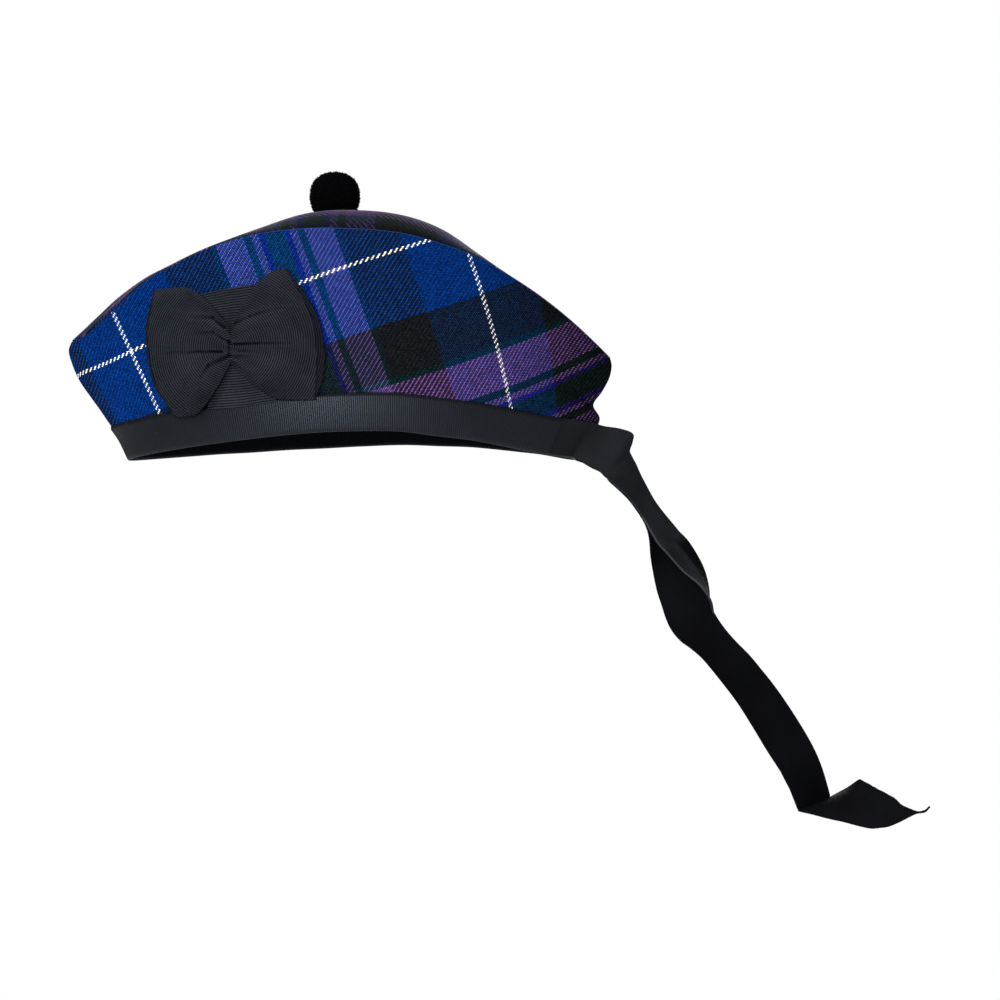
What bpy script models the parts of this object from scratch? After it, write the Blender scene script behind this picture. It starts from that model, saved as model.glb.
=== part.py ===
# Glengarry: a folded cap of tartan cloth with a ribbon band, a ribbon bow, a pompom and two ribbon tails.
# Metres, +Z up. The front points along -X, the wearer's left side along -Y.
# The origin is where the head goes in: the middle of the opening, level with the ends of the band.

import math

import bmesh
import bpy
from mathutils import Vector
from mathutils.bvhtree import BVHTree

# Driving dimensions of the cap
RIM_LENGTH = 0.247
RIM_WIDTH = 0.088
RIM_ARCH = 0.0123
RIM_ROUNDNESS = 0.55
NOSE_REACH = 0.0343
BACK_REACH = 0.0205
CAP_HEIGHT = 0.1247
BELLY = 0.007
CLOTH = 0.002
GAP = 0.0003

# Driving dimensions of the crown
CROWN_WIDTH = 0.064
CROWN_ROUNDNESS = 0.62
CROWN_RISE = 0.0172
CROWN_DOME = 2.6
CREASE_DEPTH = 0.0092
CREASE_WIDTH = 0.42
CROWN_TIP_WIDTH = 0.0030
CROWN_TIP_CLOTH = 0.0003
CROWN_TAPER = 0.004

# Driving dimensions of the band
BAND_HEIGHT = 0.0195
BAND_INSIDE = 0.015
BAND_RIBBON = 0.001
BAND_PULL = 0.0012
BAND_STEP = 0.05

# Driving dimensions of the bow
BOW_RIBBON = 0.001
BOW_MARGIN = 0.004
BOW_X = -0.0637
BOW_Z = 0.0575
BOW_LENGTH = 0.0970
BOW_HEIGHT = 0.0760
BOW_PINCH = 0.0180
UPRIGHT_PINCH = 0.0110
WING_CLOTH = 0.0016
WING_PUFF = 0.0050
WING_ROUNDING = 0.5

# Driving dimensions of the pompom
TOORIE_RADIUS = 0.0136
TOORIE_TUFT = 0.0011
TOORIE_FLATTENING = 0.93
TOORIE_X = -0.0102

# Driving dimensions of the tails
TAIL_RIBBON = 0.001
TAIL_WIDTH = 0.0255
TAIL_REACH = 0.190
TAIL_DROP = 0.204

# Stations along the band at which the tails lie on it
TAIL_ROOTS = [0.84, 0.87, 0.90, 0.93]

# Fineness of the mesh
STATIONS = 40
CROWN_COLUMNS = 10
BOW_STEPS = 9
BOW_COLUMNS = 8
TOORIE_FINENESS = 3
TAIL_STEPS = 2
TAIL_COLUMNS = 3
SLOPE_STEP = 0.004
SMOOTH_ANGLE = 50

# Sections of the cap from nose to back. along: share of the length. seam: height of the top seam over the
# rim plane, share of CAP_HEIGHT. rise: how far the crown stands up, share of CROWN_RISE.
# rim_left, rim_right: height of the rim on either side, share of RIM_ARCH.
SECTIONS = [
    dict(along=0.00, seam=0.532, rise=0.00, rim_left=0.00, rim_right=0.00),
    dict(along=0.02, seam=0.540, rise=0.19, rim_left=0.05, rim_right=0.08),
    dict(along=0.05, seam=0.589, rise=0.37, rim_left=0.12, rim_right=0.18),
    dict(along=0.09, seam=0.670, rise=0.43, rim_left=0.22, rim_right=0.29),
    dict(along=0.14, seam=0.774, rise=0.32, rim_left=0.34, rim_right=0.41),
    dict(along=0.19, seam=0.841, rise=0.21, rim_left=0.45, rim_right=0.52),
    dict(along=0.26, seam=0.917, rise=0.19, rim_left=0.60, rim_right=0.63),
    dict(along=0.34, seam=0.973, rise=0.40, rim_left=0.76, rim_right=0.77),
    dict(along=0.43, seam=0.998, rise=0.87, rim_left=0.90, rim_right=0.87),
    dict(along=0.51, seam=1.000, rise=1.00, rim_left=0.96, rim_right=0.96),
    dict(along=0.61, seam=0.982, rise=0.98, rim_left=0.96, rim_right=1.02),
    dict(along=0.69, seam=0.934, rise=0.83, rim_left=0.78, rim_right=0.95),
    dict(along=0.76, seam=0.872, rise=0.35, rim_left=0.64, rim_right=0.88),
    dict(along=0.81, seam=0.803, rise=0.08, rim_left=0.49, rim_right=0.77),
    dict(along=0.87, seam=0.711, rise=0.04, rim_left=0.28, rim_right=0.60),
    dict(along=0.93, seam=0.601, rise=0.04, rim_left=0.10, rim_right=0.40),
    dict(along=1.00, seam=0.453, rise=0.00, rim_left=0.03, rim_right=0.03),
]

# Outline of the front and back edges from the rim up. up: share of the edge's height.
# nose: how far the front edge reaches past the rim, share of NOSE_REACH. back: the same for BACK_REACH.
EDGES = [
    dict(up=0.00, nose=0.00, back=0.00),
    dict(up=0.16, nose=0.15, back=0.28),
    dict(up=0.30, nose=0.34, back=0.58),
    dict(up=0.40, nose=0.47, back=0.67),
    dict(up=0.53, nose=0.65, back=0.50),
    dict(up=0.66, nose=0.82, back=0.73),
    dict(up=0.80, nose=0.94, back=0.93),
    dict(up=0.92, nose=1.00, back=1.00),
    dict(up=1.00, nose=0.95, back=0.97),
]

# How fast the curves of the front and back edges die away towards the middle of the cap
EDGE_FADE = 5

# Heights of the mesh rows of a side panel, share of what shows above the band
PANEL_ROWS = [0.00, 0.26, 0.48, 0.68, 0.86, 1.00]

# Ends of the bow's wings. across: -1 at the lower edge, 1 at the upper edge. left_x, right_x: reach from the
# middle, share of BOW_LENGTH. left_z, right_z: height over the middle, share of BOW_HEIGHT.
WING_ENDS = [
    dict(across=-1.0, left_x=-0.345, left_z=-0.475, right_x=0.455, right_z=-0.385),
    dict(across=-0.5, left_x=-0.445, left_z=-0.230, right_x=0.505, right_z=-0.200),
    dict(across=0.0, left_x=-0.492, left_z=0.075, right_x=0.525, right_z=0.020),
    dict(across=0.5, left_x=-0.480, left_z=0.265, right_x=0.465, right_z=0.270),
    dict(across=1.0, left_x=-0.450, left_z=0.440, right_x=0.315, right_z=0.565),
]

# How quickly the ribbons of the bow widen from the pinch
WING_FLARE = dict(left=4.0, right=2.7)
UPRIGHT_FLARE = 1.6

# Ends of the upright ribbon of the bow. across: -1 at the front edge, 1 at the back edge. The other columns
# are as above.
UPRIGHT_ENDS = [
    dict(across=-1.0, low_x=-0.130, low_z=-0.440, high_x=-0.215, high_z=0.385),
    dict(across=0.0, low_x=0.070, low_z=-0.425, high_x=-0.040, high_z=0.425),
    dict(across=1.0, low_x=0.260, low_z=-0.390, high_x=0.130, high_z=0.455),
]

# Folds of the near tail from the band down. back: centre behind the rim's back end, share of TAIL_REACH.
# down: centre below the rim plane, share of TAIL_DROP.
# side: centre to the wearer's right, share of TAIL_WIDTH.
# lean: slope of the ribbon's width line seen from the side, degrees. turn: the line's turn out of that view,
# degrees. low, high: ends of the line, share of half the width.
NEAR_TAIL = [
    dict(back=0.066, down=-0.036, side=-0.240, lean=68, turn=8, low=-1.00, high=0.94),
    dict(back=0.113, down=-0.018, side=-0.200, lean=46, turn=12, low=-1.00, high=1.04),
    dict(back=0.138, down=0.033, side=-0.160, lean=33, turn=44, low=-1.00, high=1.00),
    dict(back=0.180, down=0.085, side=-0.120, lean=38, turn=58, low=-1.00, high=1.00),
    dict(back=0.223, down=0.150, side=-0.080, lean=34, turn=62, low=-1.00, high=1.00),
    dict(back=0.267, down=0.208, side=-0.080, lean=30, turn=55, low=-1.00, high=1.00),
    dict(back=0.295, down=0.237, side=-0.100, lean=28, turn=54, low=-1.00, high=1.00),
    dict(back=0.340, down=0.291, side=-0.120, lean=28, turn=60, low=-1.00, high=1.00),
    dict(back=0.372, down=0.334, side=-0.080, lean=25, turn=75, low=-1.00, high=1.00),
    dict(back=0.396, down=0.385, side=0.160, lean=22, turn=90, low=-1.00, high=1.00),
    dict(back=0.394, down=0.430, side=0.800, lean=24, turn=105, low=-1.00, high=1.00),
    dict(back=0.393, down=0.473, side=0.920, lean=32, turn=128, low=-1.00, high=1.00),
    dict(back=0.426, down=0.525, side=0.760, lean=39, turn=152, low=-1.00, high=1.00),
    dict(back=0.514, down=0.621, side=0.420, lean=39, turn=196, low=-0.95, high=0.95),
    dict(back=0.602, down=0.747, side=0.250, lean=33, turn=207, low=-0.97, high=0.97),
    dict(back=0.657, down=0.846, side=0.210, lean=22, turn=213, low=-0.97, high=0.97),
    dict(back=0.682, down=0.900, side=0.210, lean=20, turn=216, low=-0.97, high=0.97),
]

# Folds of the far tail, with the same columns
FAR_TAIL = [
    dict(back=0.068, down=-0.044, side=0.270, lean=68, turn=8, low=-0.96, high=0.88),
    dict(back=0.118, down=-0.037, side=0.250, lean=52, turn=14, low=-0.96, high=1.00),
    dict(back=0.141, down=0.036, side=0.250, lean=33, turn=44, low=-1.00, high=1.00),
    dict(back=0.184, down=0.088, side=0.270, lean=38, turn=58, low=-1.00, high=1.00),
    dict(back=0.227, down=0.146, side=0.300, lean=34, turn=60, low=-1.00, high=1.00),
    dict(back=0.252, down=0.190, side=0.270, lean=28, turn=50, low=-1.00, high=1.00),
    dict(back=0.271, down=0.232, side=0.220, lean=20, turn=33, low=-1.00, high=1.00),
    dict(back=0.288, down=0.279, side=0.180, lean=16, turn=15, low=-1.00, high=1.00),
    dict(back=0.302, down=0.336, side=0.130, lean=15, turn=4, low=-1.00, high=1.00),
    dict(back=0.316, down=0.378, side=0.090, lean=19, turn=2, low=-1.00, high=1.00),
    dict(back=0.330, down=0.420, side=0.050, lean=28, turn=10, low=-1.00, high=1.00),
    dict(back=0.353, down=0.455, side=0.010, lean=40, turn=24, low=-1.00, high=1.00),
    dict(back=0.406, down=0.507, side=0.000, lean=43, turn=34, low=-1.00, high=1.00),
    dict(back=0.516, down=0.621, side=0.000, lean=39, turn=36, low=-1.00, high=1.00),
    dict(back=0.602, down=0.747, side=0.000, lean=33, turn=27, low=-1.00, high=1.00),
    dict(back=0.657, down=0.846, side=0.000, lean=21, turn=33, low=-1.00, high=1.00),
    dict(back=0.690, down=0.929, side=0.000, lean=19, turn=38, low=-1.00, high=1.00),
    dict(back=0.726, down=0.928, side=-0.550, lean=50, turn=38, low=-0.90, high=0.88),
    dict(back=0.763, down=0.926, side=-1.020, lean=78, turn=30, low=-0.92, high=0.90),
    dict(back=0.812, down=0.925, side=-1.330, lean=98, turn=2, low=-1.00, high=1.00),
    dict(back=0.858, down=0.925, side=-1.490, lean=106, turn=0, low=-1.00, high=0.70),
    dict(back=0.893, down=0.913, side=-1.570, lean=106, turn=0, low=-1.00, high=0.10),
    dict(back=0.930, down=0.905, side=-1.630, lean=112, turn=0, low=-1.00, high=-0.66),
    dict(back=0.975, down=0.880, side=-1.690, lean=112, turn=0, low=-1.00, high=-0.86),
]

COLOURS = dict(
    tartan=((0.008, 0.030, 0.170, 1.0), 0.90),
    crown=((0.035, 0.022, 0.045, 1.0), 0.92),
    ribbon=((0.016, 0.017, 0.021, 1.0), 0.60),
    pile=((0.004, 0.004, 0.005, 1.0), 0.95),
)


# Smooth value of a table's column at a place between its rows
def between(rows, key, column, place):
    last = len(rows) - 1
    place = min(max(place, rows[0][key]), rows[last][key])
    k = 0
    while k < last - 1 and rows[k + 1][key] < place:
        k += 1

    def slope(n):
        before, after = rows[max(n - 1, 0)], rows[min(n + 1, last)]
        return (after[column] - before[column]) / (after[key] - before[key])

    start, end = rows[k], rows[k + 1]
    step = end[key] - start[key]
    t = (place - start[key]) / step
    bend = t * t * (3 - 2 * t)
    lead = t * (1 - t) ** 2 * step * slope(k) - t * t * (1 - t) * step * slope(k + 1)
    return start[column] + bend * (end[column] - start[column]) + lead


# Width of a long oval, 0 at its ends and 1 in the middle
def oval(along, roundness):
    return max(4 * along * (1 - along), 0.0) ** roundness


# Place along the cap of mesh station u, with the stations closer together at both ends
def station(u):
    return (1 - math.cos(math.pi * u)) / 2


# Point of the outer face of a side panel; u runs from nose to back, up from the rim to the top seam
def side_point(u, up, side):
    along = station(u)
    column = "rim_left" if side < 0 else "rim_right"
    rim_z = GAP + BAND_RIBBON + RIM_ARCH * between(SECTIONS, "along", column, along)
    seam_z = CAP_HEIGHT * between(SECTIONS, "along", "seam", along)
    nose = NOSE_REACH * between(EDGES, "up", "nose", up)
    back = BACK_REACH * between(EDGES, "up", "back", up)
    nose_top = NOSE_REACH * EDGES[-1]["nose"]
    back_top = BACK_REACH * EDGES[-1]["back"]
    x = (along - 0.5) * RIM_LENGTH + up * (along * back_top - (1 - along) * nose_top)
    x -= (1 - along) ** EDGE_FADE * (nose - up * nose_top)
    x += along ** EDGE_FADE * (back - up * back_top)
    z = rim_z + up * (seam_z - rim_z)
    rim_half = RIM_WIDTH / 2 * oval(along, RIM_ROUNDNESS)
    seam_half = CROWN_WIDTH / 2 * oval(along, CROWN_ROUNDNESS)
    belly = BELLY * oval(along, RIM_ROUNDNESS) * 4 * up * (1 - up)
    pull = BAND_PULL * oval(along, RIM_ROUNDNESS) * band_pull(u, up, side, seam_z - rim_z)
    y = rim_half + up * (seam_half - rim_half) + belly - pull + GAP / 2
    return Vector((x, side * y, z))


# How far the band draws the cloth in: 1 under the band, 0 a step above it
def band_pull(u, up, side, height):
    above = (up - BAND_HEIGHT / height) / BAND_STEP
    t = min(max(above, 0.0), 1.0)
    return 1 - t * t * (3 - 2 * t)


# Outward direction of a side panel
def side_normal(u, up, side):
    u0, u1 = max(u - SLOPE_STEP, 0.0), min(u + SLOPE_STEP, 1.0)
    up0, up1 = max(up - SLOPE_STEP, 0.0), min(up + SLOPE_STEP, 1.0)
    forward = side_point(u1, up, side) - side_point(u0, up, side)
    upward = side_point(u, up1, side) - side_point(u, up0, side)
    if u in (0.0, 1.0):
        forward = Vector((0, side if u == 0 else -side, 0))
    return (forward.cross(upward) * -side).normalized()


# Upward direction of a side panel at its edge
def side_upward(u, up, side):
    up0, up1 = max(up - SLOPE_STEP, 0.0), min(up + SLOPE_STEP, 1.0)
    return (side_point(u, up1, side) - side_point(u, up0, side)).normalized()


# Point off the outer face of a side panel, kept on its own side of the middle plane
def side_offset(u, up, side, out, down=0.0):
    point = side_point(u, up, side) + side_normal(u, up, side) * out
    point -= side_upward(u, up, side) * down
    if side * point.y < GAP / 2:
        point.y = side * GAP / 2
    return point


# Adds an object with a mesh made of points and faces
def add_object(name, points, faces, material):
    mesh = bpy.data.meshes.new(name)
    mesh.from_pydata([tuple(p) for p in points], [], faces)
    work = bmesh.new()
    work.from_mesh(mesh)
    bmesh.ops.remove_doubles(work, verts=work.verts, dist=1e-6)
    bmesh.ops.recalc_face_normals(work, faces=work.faces)
    work.to_mesh(mesh)
    work.free()
    mesh.shade_smooth()
    mesh.set_sharp_from_angle(angle=math.radians(SMOOTH_ANGLE))
    mesh.materials.append(material)
    result = bpy.data.objects.new(name, mesh)
    bpy.context.collection.objects.link(result)
    return result


# Closed wall between an outer and an inner grid of points
def add_wall(name, outer, inner, material):
    rows, columns = len(outer), len(outer[0])
    points = [p for row in outer for p in row] + [p for row in inner for p in row]
    deep = rows * columns

    def at(r, c):
        return r * columns + c

    faces = []
    for r in range(rows - 1):
        for c in range(columns - 1):
            face = (at(r, c), at(r, c + 1), at(r + 1, c + 1), at(r + 1, c))
            faces.append(face)
            faces.append(tuple(deep + n for n in reversed(face)))
    edge = [at(0, c) for c in range(columns)]
    edge += [at(r, columns - 1) for r in range(1, rows)]
    edge += [at(rows - 1, c) for c in range(columns - 2, -1, -1)]
    edge += [at(r, 0) for r in range(rows - 2, 0, -1)]
    for n, here in enumerate(edge):
        after = edge[(n + 1) % len(edge)]
        faces.append((after, here, deep + here, deep + after))
    return add_object(name, points, faces, material)


# Closed ring made of like loops of points
def add_ring(name, loops, material):
    count, size = len(loops), len(loops[0])
    points = [p for loop in loops for p in loop]
    faces = []
    for n in range(count):
        after = (n + 1) % count
        for k in range(size):
            l = (k + 1) % size
            faces.append((n * size + k, n * size + l, after * size + l, after * size + k))
    return add_object(name, points, faces, material)


def add_material(name):
    colour, roughness = COLOURS[name]
    material = bpy.data.materials.new(name)
    material.use_nodes = True
    shader = material.node_tree.nodes["Principled BSDF"]
    shader.inputs["Base Color"].default_value = colour
    shader.inputs["Roughness"].default_value = roughness
    shader.inputs["Metallic"].default_value = 0.0
    return material


# Height of a side panel at one station, from the rim to the top seam
def side_height(u, side):
    return (side_point(u, 1.0, side) - side_point(u, 0.0, side)).length


# Mesh rows that the band and the side panel share at one station
def band_rows(u, side):
    inside = BAND_INSIDE / side_height(u, side)
    outside = BAND_HEIGHT / side_height(u, side)
    return [0.0, inside / 2, inside, outside]


# Mesh rows of a side panel at one station: those under the band, then the others above its step
def panel_rows(u, side):
    rows = band_rows(u, side)
    clear = rows[-1] + BAND_STEP
    return rows + [clear + (1 - clear) * row for row in PANEL_ROWS]


# Tartan side panel; it stops a gap short of the crown
def add_side(name, side, material):
    stations = [n / STATIONS for n in range(STATIONS + 1)]
    outer = [[side_offset(u, up, side, 0.0) for up in panel_rows(u, side)] for u in stations]
    inner = [[side_offset(u, up, side, -CLOTH) for up in panel_rows(u, side)] for u in stations]
    return add_wall(name, outer, inner, material)


# Height of the crown over the line between its seams; across is -1 and 1 at the seams, 0 in the middle
def crown_height(along, across):
    rise = CROWN_RISE * between(SECTIONS, "along", "rise", along)
    dome = 1 - abs(across) ** CROWN_DOME
    crease = math.exp(-((across / CREASE_WIDTH) ** 2)) - math.exp(-((1 / CREASE_WIDTH) ** 2))
    return rise * dome - CREASE_DEPTH * oval(along, CROWN_ROUNDNESS) * crease


# Point of the outer face of the crown
def crown_point(u, across):
    left = side_point(u, 1.0, -1) + side_upward(u, 1.0, -1) * GAP
    right = side_point(u, 1.0, 1) + side_upward(u, 1.0, 1) * GAP
    return left.lerp(right, (across + 1) / 2) + Vector((0, 0, crown_height(station(u), across)))


def crown_normal(u, across):
    forward = crown_point(u + SLOPE_STEP, across) - crown_point(u - SLOPE_STEP, across)
    sideways = crown_point(u, across + SLOPE_STEP) - crown_point(u, across - SLOPE_STEP)
    normal = forward.cross(sideways).normalized()
    edge = side_normal(u, 1.0, 1 if across > 0 else -1)
    share = max(abs(across) * 2 - 1, 0.0) ** 2
    return (normal.lerp(edge, share)).normalized()


# Station at which half the crown is as wide as its tip
def crown_start():
    share = (2 * CROWN_TIP_WIDTH / CROWN_WIDTH) ** (1 / CROWN_ROUNDNESS)
    return math.acos(math.sqrt(1 - share)) / math.pi


# Cloth of the crown, which thins to a feather edge at the nose and at the back
def add_crown(material):
    first = crown_start()
    stations = [first + (1 - 2 * first) * n / (STATIONS - 2) for n in range(STATIONS - 1)]
    places = [2 * n / CROWN_COLUMNS - 1 for n in range(CROWN_COLUMNS + 1)]
    outer, inner = [], []
    for u in stations:
        half = CROWN_WIDTH / 2 * oval(station(u), CROWN_ROUNDNESS)
        share = min((half - CROWN_TIP_WIDTH) / CROWN_TAPER, 1.0)
        cloth = CROWN_TIP_CLOTH + (CLOTH - CROWN_TIP_CLOTH) * share
        outer.append([crown_point(u, a) for a in places])
        inner.append([crown_point(u, a) - crown_normal(u, a) * cloth for a in places])
    return add_wall("crown", outer, inner, material)


# Section of the band at one station: outer layer, fold under the rim, inner layer
def band_section(u, side):
    outward = band_rows(u, side)
    inward = outward[:-1]
    near = GAP
    far = GAP + BAND_RIBBON
    loop = [side_offset(u, up, side, far) for up in reversed(outward)]
    loop.append(side_offset(u, 0.0, side, far, down=far))
    loop.append(side_offset(u, 0.0, side, -CLOTH - far, down=far))
    loop += [side_offset(u, up, side, -CLOTH - far) for up in inward]
    loop += [side_offset(u, up, side, -CLOTH - near) for up in reversed(inward)]
    loop.append(side_offset(u, 0.0, side, -CLOTH - near, down=near))
    loop.append(side_offset(u, 0.0, side, near, down=near))
    loop += [side_offset(u, up, side, near) for up in outward]
    return loop


# Ribbon band round the rim, one ring from the nose along the left side to the back and round the right side
def add_band(material):
    loops = []
    for n in range(2 * STATIONS):
        side = -1 if n <= STATIONS else 1
        u = n / STATIONS if n <= STATIONS else 2 - n / STATIONS
        loop = band_section(u, side)
        if u in (0.0, 1.0):
            loop = [Vector((p.x, 0.0, p.z)) for p in loop]
        loops.append(loop)
    return add_ring("band", loops, material)


# Tree of the faces that the bow lies on
def face_tree(objects):
    points, faces = [], []
    for item in objects:
        start = len(points)
        points += [item.matrix_world @ v.co for v in item.data.vertices]
        faces += [[start + n for n in f.vertices] for f in item.data.polygons]
    return BVHTree.FromPolygons(points, faces)


# How far out the cap's left side stands round a place seen from that side
def outer_y(tree, x, z):
    reaches = []
    for dx in (-BOW_MARGIN, 0.0, BOW_MARGIN):
        for dz in (-BOW_MARGIN, 0.0, BOW_MARGIN):
            hit = tree.ray_cast(Vector((x + dx, -RIM_WIDTH, z + dz)), Vector((0, 1, 0)))[0]
            if hit is None:
                hit = tree.find_nearest(Vector((x, -RIM_WIDTH / 2, z)))[0]
            reaches.append(hit.y)
    return min(reaches)


# Upright ribbon of the bow, flat on the cap
def add_upright(tree, material):
    outer, inner = [], []
    for n in range(-BOW_STEPS, BOW_STEPS + 1):
        out = abs(n) / BOW_STEPS
        end = "high" if n >= 0 else "low"
        outer_row, inner_row = [], []
        for k in range(BOW_COLUMNS + 1):
            across = 2 * k / BOW_COLUMNS - 1
            end_x = BOW_LENGTH * between(UPRIGHT_ENDS, "across", end + "_x", across)
            end_z = BOW_HEIGHT * between(UPRIGHT_ENDS, "across", end + "_z", across)
            spread = 1 - (1 - out) ** UPRIGHT_FLARE
            x = BOW_X + across * UPRIGHT_PINCH / 2 + (end_x - across * UPRIGHT_PINCH / 2) * spread
            z = BOW_Z + end_z * out
            y = outer_y(tree, x, z) - GAP
            inner_row.append(Vector((x, y, z)))
            outer_row.append(Vector((x, y - BOW_RIBBON, z)))
        outer.append(outer_row)
        inner.append(inner_row)
    return add_wall("bow_upright", outer, inner, material)


# Wings of the bow, doubled ribbon that stands off the cap between the pinch and the sewn ends
def add_wings(tree, material):
    outer, inner = [], []
    for n in range(-BOW_STEPS, BOW_STEPS + 1):
        out = abs(n) / BOW_STEPS
        end = "right" if n >= 0 else "left"
        outer_row, inner_row = [], []
        for k in range(BOW_COLUMNS + 1):
            across = 2 * k / BOW_COLUMNS - 1
            end_x = BOW_LENGTH * between(WING_ENDS, "across", end + "_x", across)
            end_z = BOW_HEIGHT * between(WING_ENDS, "across", end + "_z", across)
            spread = 1 - (1 - out) ** WING_FLARE[end]
            pinch = across * BOW_PINCH / 2
            x = BOW_X + end_x * out
            z = BOW_Z + pinch + (end_z - pinch) * spread
            puff = WING_PUFF * math.sin(math.pi * out) * (1 - WING_ROUNDING * across * across)
            y = outer_y(tree, x, z) - 2 * GAP - puff
            inner_row.append(Vector((x, y, z)))
            outer_row.append(Vector((x, y - WING_CLOTH, z)))
        outer.append(outer_row)
        inner.append(inner_row)
    return add_wall("bow_wings", outer, inner, material)


# Pompom: a round head whose every face is drawn out into a tuft, flattened a little underneath
def add_toorie(material):
    tree = face_tree([bpy.data.objects["crown"]])
    above = CAP_HEIGHT * 2
    work = bmesh.new()
    bmesh.ops.create_icosphere(work, subdivisions=TOORIE_FINENESS, radius=TOORIE_RADIUS)
    bmesh.ops.poke(work, faces=work.faces, offset=TOORIE_TUFT)
    seats = []
    for vertex in work.verts:
        if vertex.co.z < 0:
            vertex.co.z *= TOORIE_FLATTENING
        start = Vector((TOORIE_X + vertex.co.x, vertex.co.y, above))
        cloth = tree.ray_cast(start, Vector((0, 0, -1)))[0]
        if cloth is not None:
            seats.append(cloth.z - vertex.co.z)
    mesh = bpy.data.meshes.new("toorie")
    work.to_mesh(mesh)
    work.free()
    mesh.materials.append(material)
    toorie = bpy.data.objects.new("toorie", mesh)
    toorie.location = (TOORIE_X, 0, max(seats) + GAP)
    bpy.context.collection.objects.link(toorie)
    return toorie


# Lines across the tail where it lies on the band
def root_lines(side):
    lines = []
    for u in TAIL_ROOTS:
        top = BAND_HEIGHT / side_height(u, side)
        out = GAP + BAND_RIBBON + GAP + TAIL_RIBBON
        low = side_offset(u, 0.0, side, out)
        high = side_offset(u, top, side, out)
        lines.append([low.lerp(high, k / TAIL_COLUMNS) for k in range(TAIL_COLUMNS + 1)])
    return lines


# Ribbon tail from the band through the folds of its table
def add_tail(name, side, folds, material):
    rows = [dict(fold, place=n) for n, fold in enumerate(folds)]
    lines = root_lines(side)
    for n in range((len(rows) - 1) * TAIL_STEPS + 1):
        fold = {key: between(rows, "place", key, n / TAIL_STEPS) for key in rows[0]}
        centre = Vector((RIM_LENGTH / 2 + TAIL_REACH * fold["back"], TAIL_WIDTH * fold["side"],
                         -TAIL_DROP * fold["down"]))
        lean, turn = math.radians(fold["lean"]), math.radians(fold["turn"])
        width = Vector((math.cos(turn) * math.cos(lean), math.sin(turn), math.cos(turn) * math.sin(lean)))
        low = centre + width * (TAIL_WIDTH / 2 * fold["low"])
        high = centre + width * (TAIL_WIDTH / 2 * fold["high"])
        lines.append([low.lerp(high, k / TAIL_COLUMNS) for k in range(TAIL_COLUMNS + 1)])
    outer, inner = [], []
    for n, line in enumerate(lines):
        before, after = lines[max(n - 1, 0)], lines[min(n + 1, len(lines) - 1)]
        across = (line[-1] - line[0]).normalized()
        outer_row, inner_row = [], []
        for k, point in enumerate(line):
            normal = (after[k] - before[k]).cross(across).normalized()
            outer_row.append(point + normal * (TAIL_RIBBON / 2))
            inner_row.append(point - normal * (TAIL_RIBBON / 2))
        outer.append(outer_row)
        inner.append(inner_row)
    return add_wall(name, outer, inner, material)


def build():
    for item in list(bpy.data.objects):
        bpy.data.objects.remove(item, do_unlink=True)
    tartan = add_material("tartan")
    ribbon = add_material("ribbon")
    left = add_side("side_left", -1, tartan)
    add_side("side_right", 1, tartan)
    add_crown(add_material("crown"))
    band = add_band(ribbon)
    upright = add_upright(face_tree([left, band]), ribbon)
    add_wings(face_tree([left, band, upright]), ribbon)
    add_toorie(add_material("pile"))
    add_tail("tail_left", -1, NEAR_TAIL, ribbon)
    add_tail("tail_right", 1, FAR_TAIL, ribbon)


build()
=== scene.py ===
import math

import bpy
import numpy as np
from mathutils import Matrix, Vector
from mathutils.bvhtree import BVHTree


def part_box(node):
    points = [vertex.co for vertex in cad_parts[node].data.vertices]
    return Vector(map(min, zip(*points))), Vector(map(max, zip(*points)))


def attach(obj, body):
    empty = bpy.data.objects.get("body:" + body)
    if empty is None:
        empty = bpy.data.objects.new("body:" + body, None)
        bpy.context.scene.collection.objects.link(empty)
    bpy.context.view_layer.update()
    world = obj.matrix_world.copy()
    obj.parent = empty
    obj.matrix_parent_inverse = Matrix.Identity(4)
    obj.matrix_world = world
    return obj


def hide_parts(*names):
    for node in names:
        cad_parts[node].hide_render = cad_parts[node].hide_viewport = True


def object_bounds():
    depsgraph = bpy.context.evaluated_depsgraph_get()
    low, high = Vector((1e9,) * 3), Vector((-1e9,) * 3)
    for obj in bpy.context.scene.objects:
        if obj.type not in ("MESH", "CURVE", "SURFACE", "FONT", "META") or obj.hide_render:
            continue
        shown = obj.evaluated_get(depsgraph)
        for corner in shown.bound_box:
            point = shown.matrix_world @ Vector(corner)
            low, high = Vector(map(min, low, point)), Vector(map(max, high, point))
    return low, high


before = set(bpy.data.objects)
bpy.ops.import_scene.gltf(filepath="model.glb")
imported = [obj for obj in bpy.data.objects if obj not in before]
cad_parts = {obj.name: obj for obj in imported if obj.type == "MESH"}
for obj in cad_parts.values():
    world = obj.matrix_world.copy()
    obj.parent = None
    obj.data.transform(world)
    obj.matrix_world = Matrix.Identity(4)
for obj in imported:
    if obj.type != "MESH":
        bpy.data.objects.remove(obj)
cadLow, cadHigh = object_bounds()
print("frame loaded with", len(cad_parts), "solids")


# small tools
def plug(tree, node, values):
    # wires are linked to a node's inputs, numbers and colours are set there, and None is left out
    for name, value in dict(values).items():
        if isinstance(value, Wire):
            tree.links.new(value.socket, node.inputs[name])
        elif value is not None:
            node.inputs[name].default_value = value


def operator(operation):
    # a method of Wire that adds one Math node
    return lambda self, *others: self.maths(operation, self, *others)


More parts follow.
